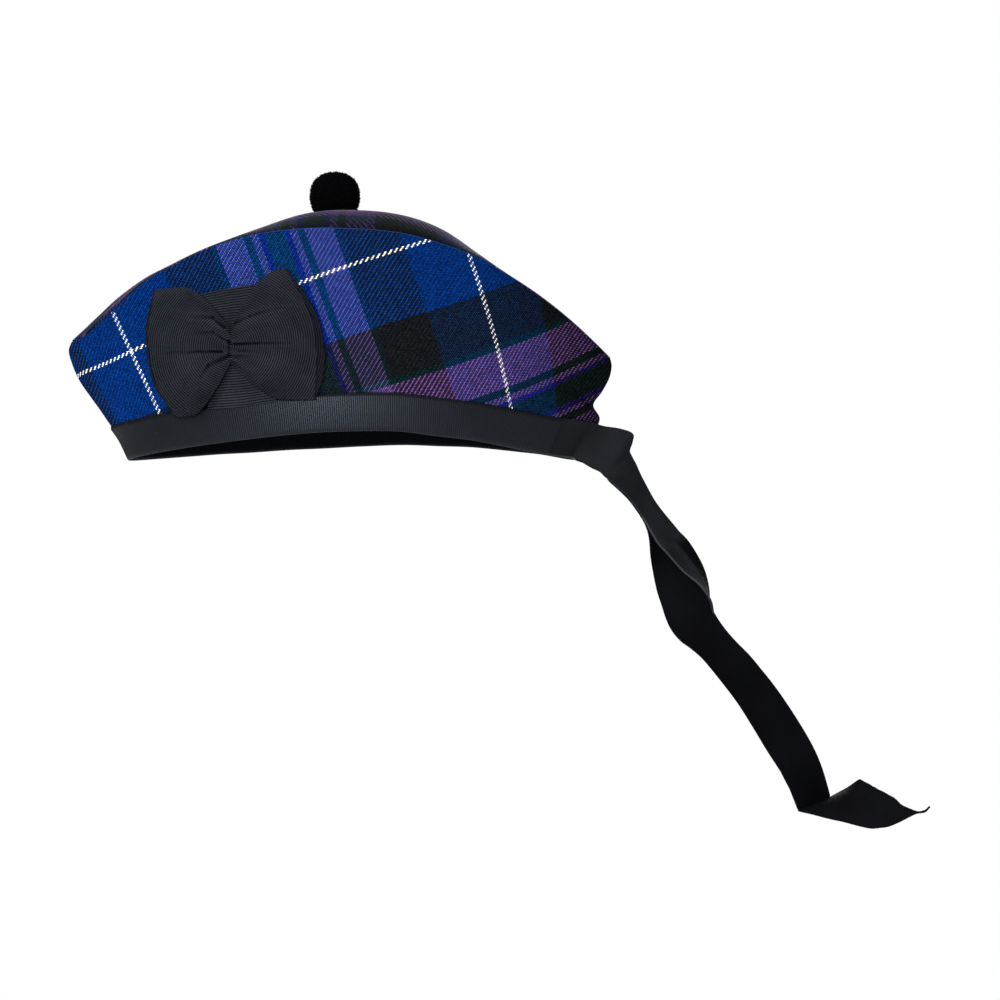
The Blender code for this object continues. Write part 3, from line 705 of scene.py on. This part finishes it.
def crownPoint(u, across):
    u, across = np.broadcast_arrays(u, across)
    along = stationAlong(u)
    left, right = (sidePoint(u, 1.0, side) + sideUpward(u, 1.0, side) * cap["gap"] for side in (-1, 1))
    dome = 1 - np.abs(across) ** cap["crownDome"]
    valley = np.exp(-(across / cap["creaseWidth"]) ** 2) - math.exp(-(1 / cap["creaseWidth"]) ** 2)
    point = left + (right - left) * ((across + 1) / 2)[..., None]
    point[..., 2] += cap["crownRise"] * line("rise", along) * dome
    point[..., 2] -= cap["creaseDepth"] * oval(along, cap["crownRoundness"]) * valley
    return point


def addCrown():
    share = (2 * crown["tipShare"] / cap["crownWidth"]) ** (1 / cap["crownRoundness"])
    first = math.acos(math.sqrt(1 - share)) / np.pi
    u = np.linspace(first, 1 - first, crown["stations"] + 1)[:, None]
    across = np.sin(np.linspace(-0.5, 0.5, crown["columns"] + 1) * np.pi)[None, :]
    face = crownPoint(u, across)
    normal = gridNormals(face)
    normal = np.where(normal[..., 2:] < 0, -normal, normal)
    half = cap["crownWidth"] / 2 * oval(stationAlong(u), cap["crownRoundness"])
    full = np.clip((half - crown["thickFrom"]) / crown["thickOver"], 0, 1)
    thick = crown["thinEdge"] + crown["thicker"] * full
    edge = smooth((np.abs(across) - 1 + crown["tuckZone"]) / crown["tuckZone"])
    roll = crown["roll"] * rounded(edge) * np.clip(half / crown["rollFull"], 0, 1)
    x, y = face[..., 0], face[..., 1]
    front = np.minimum(x - crown["frontFrom"], 0)
    uv = beside(crown["warpFrom"] - x + front * (1 - crown["frontScale"]),
                crown["weftFrom"] + y - front * crown["skew"])
    cloth = tartanMaterial("crownTartan", paintedShading=crown["paintedShading"], sheen=crown["sheen"])
    outer, inner = (face - normal * deep[..., None] for deep in (roll, thick))
    dress(addWall("crownCloth", outer, inner, uv, cloth), "crown")


addCrown()
print("crown cut")


# band
band = dict(stations=260, rows=16, edge=0.0007, foldSteps=6, turnedIn=-0.0022, sharp=60)


def bandRing(u, side):
    # one closed ring of points round the band's section, and how far each lies above the rim along the ribbon
    tall = float(sideHeight(u, side))
    near, far = cap["gap"], cap["gap"] + cap["bandRibbon"]
    middle, radius = -cap["cloth"] / 2, cap["cloth"] / 2 + far
    # outer face from the top edge down, with a rounded upper edge
    high = np.linspace(1, 0, band["rows"] + 1) * cap["bandHeight"]
    edge = np.clip((high - cap["bandHeight"] + band["edge"]) / band["edge"], 0, 1)
    # fold under the rim, up the inside and back down along the cloth
    turn = np.linspace(0, np.pi, band["foldSteps"] + 2)[1:-1]
    inside = np.linspace(0, 1, band["rows"] // 2 + 1) * cap["bandInside"]
    behind = np.array([0.0, 0.5, 1.0]) * cap["bandHeight"]
    # height, distance out, distance down and width of each strip
    strips = [(high, far - (far - near) * rounded(edge), 0, high),
              (0, middle + radius * np.cos(turn), np.minimum(radius * np.sin(turn), far), -radius * turn),
              (inside, -cap["cloth"] - far, 0, -radius * np.pi - inside),
              (inside[::-1], -cap["cloth"] - near, 0, -radius * np.pi - inside[::-1]),
              (0, (-cap["cloth"] - near, near), near, (-radius * np.pi, 0.0)),
              (behind, near, 0, behind)]
    points, widths = [], []
    for strip in strips:
        rise, out, down, width = np.broadcast_arrays(*strip)
        points.append(offSide(u, rise / tall, side, out, down))
        widths.append(width)
    points = np.concatenate(points)
    if u in (0.0, 1.0):
        points[:, 1] = 0.0
    return points, np.concatenate(widths)


def addBand(material):
    shares = [n / band["stations"] for n in range(2 * band["stations"] + 1)]
    rings, widths = zip(*(bandRing(min(share, 2 - share), -1 if share <= 1 else 1) for share in shares))
    grid = np.array(rings)
    uv = beside(travelled(grid[:, band["rows"]])[:, None], widths)
    points, faces = grid.reshape(-1, 3), tube(len(grid) - 1, grid.shape[1])
    piece = addMesh("rimBand", points, faces, material, uv, band["sharp"])
    faceOut(piece, points, faces)
    dress(piece, "band")


addBand(ribbonMaterial("band", innerFrom=band["turnedIn"]))
print("band sewn on")


# bow
bow = dict(
    x=-0.0637, z=0.0575, length=0.097, height=0.076, pinch=0.018, uprightPinch=0.011, steps=110,
    columns=120, thick=0.0007, layerGap=0.00015, layerThick=0.0006, uprightThick=0.0008, inside=0.965,
    relaxed=12, shadow=0.001, wingHalf=0.033, uprightLong=0.034, uprightHalf=0.022, ripples=0.00025,
    seed=21, foldEnd=0.25, ridge=0.35, ridgeWide=3, underFrom=0.3, steepest=0.8)
# small waves at the pinch: height, number across the ribbon and how fast they fade away from it
gathers = dict(wings=(0.0006, 4.5, 5), upright=(0.0005, 3.5, 3))
# ends of the wings and of the upright ribbon, as shares of the bow's length and height. first: left or low.
wingEnds = rows(
    "across firstX firstZ lastX lastZ firstUnder lastUnder",
    (-1, -0.31, -0.49, 0.47, -0.385, 0.01, 0.004), (-0.5, -0.43, -0.23, 0.48, -0.2, 0.018, 0.04),
    (0, -0.474, 0.075, 0.478, 0.02, 0.018, 0.042), (0.5, -0.462, 0.265, 0.43, 0.27, 0.018, 0.035),
    (1, -0.438, 0.44, 0.3, 0.565, 0.012, 0.012))
uprightEnds = rows(
    "across firstX firstZ lastX lastZ",
    (-1, -0.13, -0.44, -0.215, 0.385), (0, 0.07, -0.425, -0.04, 0.425), (1, 0.26, -0.39, 0.13, 0.455))
# how far out the lower and upper edge of the left and the right wing have spread to their full height, and
# how bent they get there
flare = dict(wings=((0.68, 0.62), (0.62, 1.0), (1.5, 1.5), (1.5, 2.05)), upright=1.6)
# folds that run out from the pinch, in millimetres: x and z of both ends from the middle of the bow, then
# depth and width
wingFolds = [
    (-0.5, 11.5, 10.5, 16.2, 2.4, 0.9), (10.5, 16.2, 24.8, 20.6, 1.4, 0.8), (24.8, 20.6, 35, 20.6, 0.6, 0.8),
    (1, 1.2, 33, 1.2, 2, 0.6), (2, -0.2, 33, -0.2, -0.9, 0.6), (4.8, -2.6, 20, -3.6, 1.2, 0.7),
    (1, -5.5, 12, -5.8, 1.5, 0.8), (1, -8.5, 11, -16.5, 1, 0.9), (-3.3, 10.6, -9.7, 15.8, 2.6, 0.9),
    (-9.7, 15.8, -22, 16.6, 1.8, 0.9), (0, 2, -9.2, 7.7, 2.2, 0.8), (-9.2, 7.7, -20.2, 7.7, 1.3, 0.8),
    (-36, -2.5, -4, -3, 2.2, 0.6), (-35.3, -1.2, -6, -1.6, -1, 0.6), (-0.4, -5, -11.6, -10.4, 2.6, 0.9),
    (-11.6, -10.4, -16.7, -16.7, 1.8, 1), (-0.6, 3, -0.2, -6.5, 2, 0.8)]


def faceDepth(node, x, z, start=-0.2, near=-0.045):
    # how far out a solid stands, seen from the wearer's left
    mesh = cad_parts[node].data
    tree = BVHTree.FromPolygons([v.co for v in mesh.vertices], [list(f.vertices) for f in mesh.polygons])
    depth = np.zeros_like(x)
    for place in np.ndindex(x.shape):
        hit = tree.ray_cast(Vector((x[place], start, z[place])), Vector((0, 1, 0)))[0]
        if hit is None:
            hit = tree.find_nearest(Vector((x[place], near, z[place])))[0]
        depth[place] = hit.y
    return depth


def foldDepth(x, z, folds):
    total = np.zeros_like(x)
    for fold in folds:
        x0, z0, x1, z1, depth, width = np.array(fold) / 1000
        dx, dz = x1 - x0, z1 - z0
        t = np.clip(((x - x0) * dx + (z - z0) * dz) / (dx * dx + dz * dz), 0, 1)
        off = np.hypot(x - x0 - t * dx, z - z0 - t * dz) / width
        # deepest at the end by the pinch, with a low wide ridge on both sides
        near = 1 - t if np.hypot(x0, z0) < np.hypot(x1, z1) else t
        ridge = bow["ridge"] * np.exp(-(off / bow["ridgeWide"]) ** 2)
        total += depth * (bow["foldEnd"] + (1 - bow["foldEnd"]) * near) * (np.exp(-off ** 2) - ridge)
    return total


def bowGrid(table):
    # shares out from the pinch and across the ribbon, and where its ends lie
    out = np.linspace(-1, 1, 2 * bow["steps"] + 1)[:, None]
    across = np.linspace(-1, 1, bow["columns"] + 1)[None, :]
    ends = atPlace(table, across)
    x, z = (np.where(out >= 0, ends["last" + way], ends["first" + way]) for way in "XZ")
    return out, across, ends, bow["length"] * x, bow["height"] * z


def bowFace(node, dx, dz, across, far, gather):
    # points of a ribbon of the bow, on its solid, with the gathers at the pinch
    y = relax(faceDepth(node, bow["x"] + dx * bow["inside"], bow["z"] + dz * bow["inside"]), bow["relaxed"])
    height, waves, fade = gather
    gathered = y + height * np.cos(across * np.pi * waves) * np.exp(-far * fade)
    return y, beside(bow["x"] + dx, gathered, bow["z"] + dz)


def addWings(material):
    out, across, ends, endX, endZ = bowGrid(wingEnds)
    far, right = np.abs(out), out >= 0
    leftFull, rightFull, leftBend, rightBend = (np.interp(across, (-1, 1), pair) for pair in flare["wings"])
    full, bend = np.where(right, rightFull, leftFull), np.where(right, rightBend, leftBend)
    spread = 1 - np.maximum(0, 1 - far / full) ** bend
    pinch = across * bow["pinch"] / 2
    dx = endX * far
    dz = pinch + (endZ - pinch) * spread
    y, face = bowFace("bow_wings", dx, dz, across, far, gathers["wings"])
    folds = foldDepth(dx, dz, wingFolds)
    face[..., 1] += folds + bow["ripples"] * ripple(dx, dz, bow["seed"], shortest=0.006, longest=0.02)
    # the ribs run round the pinch
    uv = beside(np.hypot(dx, dz), across * bow["wingHalf"])
    top = addWall("bowWings", face, face + (0, bow["thick"], 0), uv, material)
    addMap(top, "fold", beside(np.stack([folds, folds * 0]), 0.0))
    dress(top, "bow_wings")
    # the ribbon is doubled, and its under layer shows past the ends
    longer = bow["length"] * np.where(right, ends["lastUnder"], -ends["firstUnder"])
    longer = longer * smooth((far - bow["underFrom"]) / (1 - bow["underFrom"]))
    slope = np.clip(np.gradient(y, axis=0) / np.gradient(dx, axis=0), -bow["steepest"], bow["steepest"])
    behind = np.maximum(longer * slope, 0) + bow["thick"] + bow["layerGap"]
    under = face + beside(longer, behind, 0.0)
    lower = addWall("bowUnderlayer", under, under + (0, bow["layerThick"], 0), uv, material)
    # the under layer is painted darker through its fold map, as painted shade under the top layer
    addMap(lower, "fold", np.full((len(lower.data.vertices), 2), bow["shadow"]))
    dress(lower, "bow_wings")


def addUpright(material):
    out, across, _, endX, endZ = bowGrid(uprightEnds)
    far = np.abs(out)
    pinch = across * bow["uprightPinch"] / 2
    dx = pinch + (endX - pinch) * (1 - (1 - far) ** flare["upright"])
    _, face = bowFace("bow_upright", dx, endZ * far, across, far, gathers["upright"])
    uv = beside(out * bow["uprightLong"], across * bow["uprightHalf"])
    piece = addWall("bowUpright", face, face + (0, bow["uprightThick"], 0), uv, material)
    dress(piece, "bow_upright")


addUpright(ribbonMaterial("upright"))
addWings(ribbonMaterial("wings", folded=True))
print("bow tied")


# pompom
# askew: any way that no tuft stands along
toorie = dict(
    tufts=5200, sides=4, width=0.00034, narrowing=(1.0, 0.95, 0.45), middle=0.65, askew=(0.3, 0.2, 0.9),
    scatter=0.012, lean=0.0875, trimmed=0.98, uneven=0.015, square=(0.06, 0.03), pressed=0.045, core=0.86,
    rooted=0.93, coreRows=24, coreColumns=36, sharp=60, seed=11, speckNoise=(900.0, 2.0), dark=(4, 4, 6),
    light=(15, 16, 19), roughness=0.9, specular=0.08)


def pileMaterial():
    material, start = newMaterial("pile")
    speck = start.node("ShaderNodeTexCoord", {}, {}, 3).noise(*toorie["speckNoise"], dimensions="3D")
    colour = speck.mixColour(linear(*toorie["dark"]), linear(*toorie["light"]))
    return setShader(material, {"Base Color": colour, "Roughness": toorie["roughness"],
                                "Specular IOR Level": toorie["specular"]})


def addToorie():
    low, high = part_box("toorie")
    centre, size = np.array((low + high) / 2), np.array(high - low) / 2
    dice = np.random.default_rng(toorie["seed"])
    count, columns = toorie["tufts"], toorie["sides"]
    n = np.arange(count)
    z = 1 - (2 * n + 1) / count
    angle = n * np.pi * (3 - math.sqrt(5))
    flat = np.sqrt(1 - z * z)
    way = beside(flat * np.cos(angle), flat * np.sin(angle), z)
    way = unit(way + dice.normal(0, toorie["scatter"], way.shape))
    tip = unit(way + dice.normal(0, toorie["lean"], way.shape))
    reach = toorie["trimmed"] + dice.normal(0, toorie["uneven"], count)
    # a little squarer than a ball, more so above, and the tufts under it press on the crown
    reach = reach * (1 + np.where(z > 0, *toorie["square"]) * 4 * z ** 2 * (1 - z ** 2))
    reach = reach + toorie["pressed"] * np.maximum(0.0, -way[:, 2]) ** 2
    base = centre + way * size * toorie["core"] * toorie["rooted"]
    end = centre + tip * size * reach[:, None]
    first = unit(np.cross(way, toorie["askew"]))
    second = np.cross(way, first)
    turn = (2 * np.pi * np.arange(columns) / columns)[:, None]
    around = (first[:, None] * np.cos(turn) + second[:, None] * np.sin(turn)) * toorie["width"]
    middle = base * (1 - toorie["middle"]) + end * toorie["middle"]
    rings = zip((base, middle, end), toorie["narrowing"])
    tufts = np.stack([place[:, None] + around * width for place, width in rings], 1).reshape(-1, 3)
    last = (len(toorie["narrowing"]) - 1) * columns
    tuft = tube(last // columns, columns) + [tuple(range(last, last + columns))]
    starts = range(0, len(tufts), last + columns)
    faces = [tuple(start + p for p in face) for start in starts for face in tuft]
    # round core that the tufts stand on
    up = (np.pi * (np.arange(toorie["coreRows"] + 1) / toorie["coreRows"] - 0.5))[:, None]
    turn = 2 * np.pi * np.arange(toorie["coreColumns"]) / toorie["coreColumns"]
    ball = beside(np.cos(up) * np.cos(turn), np.cos(up) * np.sin(turn), np.sin(up))
    core = centre + ball.reshape(-1, 3) * size * toorie["core"]
    faces += [tuple(len(tufts) + p for p in face) for face in tube(toorie["coreRows"], toorie["coreColumns"])]
    points = np.concatenate([tufts, core])
    piece = addMesh("toorieTufts", points, faces, pileMaterial(), sharp=toorie["sharp"])
    dress(piece, "toorie")


addToorie()
print("pompom trimmed")


# tails
tails = dict(
    width=0.0255, reach=0.19, drop=0.204, ribbon=0.0007, rowSteps=2, steps=7, columns=14, frayed=0.0003,
    fraySeed=7, wave=0.00035, waveSeed=3, waveFrom=0.03, wavesAcross=0.05, edgeThicker=0.5, edgeWide=0.05,
    sewnThin=0.3, sewnLong=0.01, cutStart=1)
# how the near tail looks: darker for a way from the band, then with a painted highlight along one edge and
# painted shade along the other
nearLook = dict(
    rootLong=0.085, rootMix=0.95, rootColour=linear(33, 35, 39), litEdge=tails["width"] / 2 - 0.0009,
    litFrom=0.078, litMix=0.45, litColour=linear(84, 86, 92), awayEdge=0.001, awaySoft=0.003,
    awayFrom=0.096, awayStart=0.006, awayMix=0.85, awayShadeColour=linear(9, 9, 11))
# where a tail is sewn on: places along the side, and how far out its middle lies there
roots = rows("along out", (0.84, 0.0015), (0.87, 0.0018), (0.9, 0.00205), (0.93, 0.00235))
# folds of the near tail from the band down. back, down: middle of the ribbon behind and below the rim's back
# end, in thousandths of the reach and the drop. side: middle towards the wearer's right, in thousandths of
# the width. lean, turn: slope of its width line and its turn, degrees. low, high: ends of that line, where
# they aren't -1 and 1.
nearTail = rows(
    "back down side lean turn low high",
    (66, -36, -240, 68, 8, -1, 0.94), (118, -19, -206, 49, 11, -1.14, 1.14),
    (122, 11, -176, 48, 30, -0.95, 0.95), (138, 33, -160, 33, 44), (180, 85, -120, 38, 58),
    (223, 150, -80, 34, 62), (267, 208, -80, 30, 55), (295, 237, -100, 28, 54), (340, 291, -120, 28, 60),
    (372, 334, -80, 25, 75), (392, 385, 160, 22, 90), (390, 430, 800, 24, 105), (393, 473, 920, 32, 128),
    (426, 525, 760, 39, 152, -0.97, 0.62), (514, 621, 420, 39, 196, -0.93, 0.66),
    (602, 747, 250, 33, 207, -0.95, 0.88), (657, 846, 210, 22, 213, -0.97, 0.97),
    (682, 900, 210, 20, 216, -0.97, 0.97))
farTail = rows(
    "back down side lean turn low high",
    (68, -44, 270, 68, 8, -0.96, 0.88), (120, -32, 253, 50, 13, -1.03, 1.03),
    (125, 5, 255, 47, 32, -0.89, 0.89), (141, 36, 250, 33, 44), (184, 88, 270, 38, 58),
    (227, 146, 300, 34, 60), (252, 190, 270, 28, 50), (271, 232, 220, 20, 33), (288, 279, 180, 16, 15),
    (302, 336, 130, 15, 4), (316, 378, 90, 19, 2, -1, 1.05), (330, 420, 50, 28, 10, -1, 1.1),
    (353, 455, 10, 40, 24, -1, 1.12), (406, 507, 0, 43, 34, -0.94, 1.05),
    (516, 621, 0, 39, 36, -1.17, 1.03), (602, 747, 0, 33, 27, -1.08, 1.03),
    (657, 846, 0, 21, 33, -1.01, 1.06), (690, 929, 0, 19, 38))
# end of the far tail, turned up to the wearer's left: back, down and side of its lower and its upper edge
flap = [
    ((694, 959, -750), (773, 886, -530)), ((751, 972, -1140), (803, 859, -1290)),
    ((821, 988, -1350), (846, 883, -1450)), ((853, 987, -1430), (870, 895, -1510)),
    ((878, 983, -1490), (892, 907, -1550)), ((908, 971, -1550), (913, 925, -1580)),
    ((932, 959, -1600), (935, 935, -1610)), ((954, 949, -1630), (957, 942, -1640)),
    ((977, 945, -1650), (976, 939, -1660)), ((991, 932, -1690), (988, 928, -1690))]


def tailPlace(back, down, side):
    # a point behind and below the rim's back end, from the table's thousandths
    back, down, side = (np.asarray(value) / 1000 for value in (back, down, side))
    return beside(cap["rimLength"] / 2 + tails["reach"] * back, tails["width"] * side, -tails["drop"] * down)


def tailLines(folds, side, flapRows):
    # both edges of the ribbon from the band to its end, with the numbers of their sharp corners
    low, high = [], []
    for root in roots:
        top = cap["bandHeight"] / float(sideHeight(root["along"], side))
        for edge, up in ((low, 0.0), (high, top)):
            edge.append(offSide(root["along"], up, side, root["out"]))
    last = len(folds) - 1
    value = atPlace([{"place": n, "low": -1, "high": 1, **fold} for n, fold in enumerate(folds)],
                    np.linspace(0, last, last * tails["rowSteps"] + 1))
    centre = tailPlace(value["back"], value["down"], value["side"])
    lean, turn = np.radians(value["lean"]), np.radians(value["turn"])
    across = beside(np.cos(turn) * np.cos(lean), np.sin(turn), np.cos(turn) * np.sin(lean))
    low += list(centre + across * (tails["width"] / 2 * value["low"])[:, None])
    high += list(centre + across * (tails["width"] / 2 * value["high"])[:, None])
    corner = len(low) - 1
    for lower, upper in flapRows:
        low.append(tailPlace(*lower))
        high.append(tailPlace(*upper))
    breaks = [corner, corner + 1 + tails["cutStart"]] if flapRows else []
    return np.array(low), np.array(high), breaks[:1], breaks


def throughPoints(points, steps):
    before = np.vstack([2 * points[0] - points[1], points[:-1]])
    after = np.vstack([points[1:], 2 * points[-1] - points[-2]])
    slope = (after - before) / 2
    t = np.linspace(0, 1, steps, endpoint=False)[:, None]
    made = [bent(t, points[k], points[k + 1], slope[k], slope[k + 1]) for k in range(len(points) - 1)]
    return np.vstack(made + [points[-1:]])


def brokenLine(points, breaks):
    # smooth line through points, with a sharp corner at each break
    marks = [0] + breaks + [len(points) - 1]
    parts = [throughPoints(points[a:b + 1], tails["steps"]) for a, b in zip(marks, marks[1:])]
    return np.vstack([part[:-1] for part in parts[:-1]] + parts[-1:])


def addTail(name, node, side, folds, material, flapRows=()):
    low, high, lowBreaks, highBreaks = tailLines(folds, side, flapRows)
    low, high = brokenLine(low, lowBreaks), brokenLine(high, highBreaks)
    if flapRows:
        # the cut end is slightly frayed
        first = highBreaks[-1] * tails["steps"]
        count = len(high) - first
        pull = np.random.default_rng(tails["fraySeed"]).uniform(0, tails["frayed"], count)
        pull = pull * np.linspace(1, 0, count) ** 0.5
        high[first:] += unit(low[first:] - high[first:] + 1e-9) * pull[:, None]
    share = np.linspace(0, 1, tails["columns"] + 1)[None, :]
    sheet = low[:, None, :] * (1 - share[..., None]) + high[:, None, :] * share[..., None]
    travel = travelled((low + high) / 2)[:, None]
    normal = gridNormals(sheet)
    # woven edge a little thicker, a slight uneven wave in the ribbon, and thin where it is sewn on
    place = share * 2 - 1
    wave = ripple(travel, share * tails["wavesAcross"], tails["waveSeed"] + side, shortest=0.02, longest=0.07)
    wave = wave * tails["wave"] * smooth((travel - tails["waveFrom"]) / tails["waveFrom"])
    edge = 1 + tails["edgeThicker"] * np.exp(-((1 - np.abs(place)) / tails["edgeWide"]) ** 2)
    sewn = tails["sewnThin"] + (1 - tails["sewnThin"]) * smooth(travel / tails["sewnLong"])
    centre = sheet + normal * wave[..., None]
    half = (tails["ribbon"] / 2 * edge * sewn)[..., None]
    uv = beside(travel, place * tails["width"] / 2)
    piece = addWall(name, centre + normal * half, centre - normal * half, uv, material)
    dress(piece, node)


addTail("leftTail", "tail_left", -1, nearTail, ribbonMaterial("nearTail", look=nearLook))
addTail("rightTail", "tail_right", 1, farTail, ribbonMaterial("farTail"), flap)
print("tails hung")
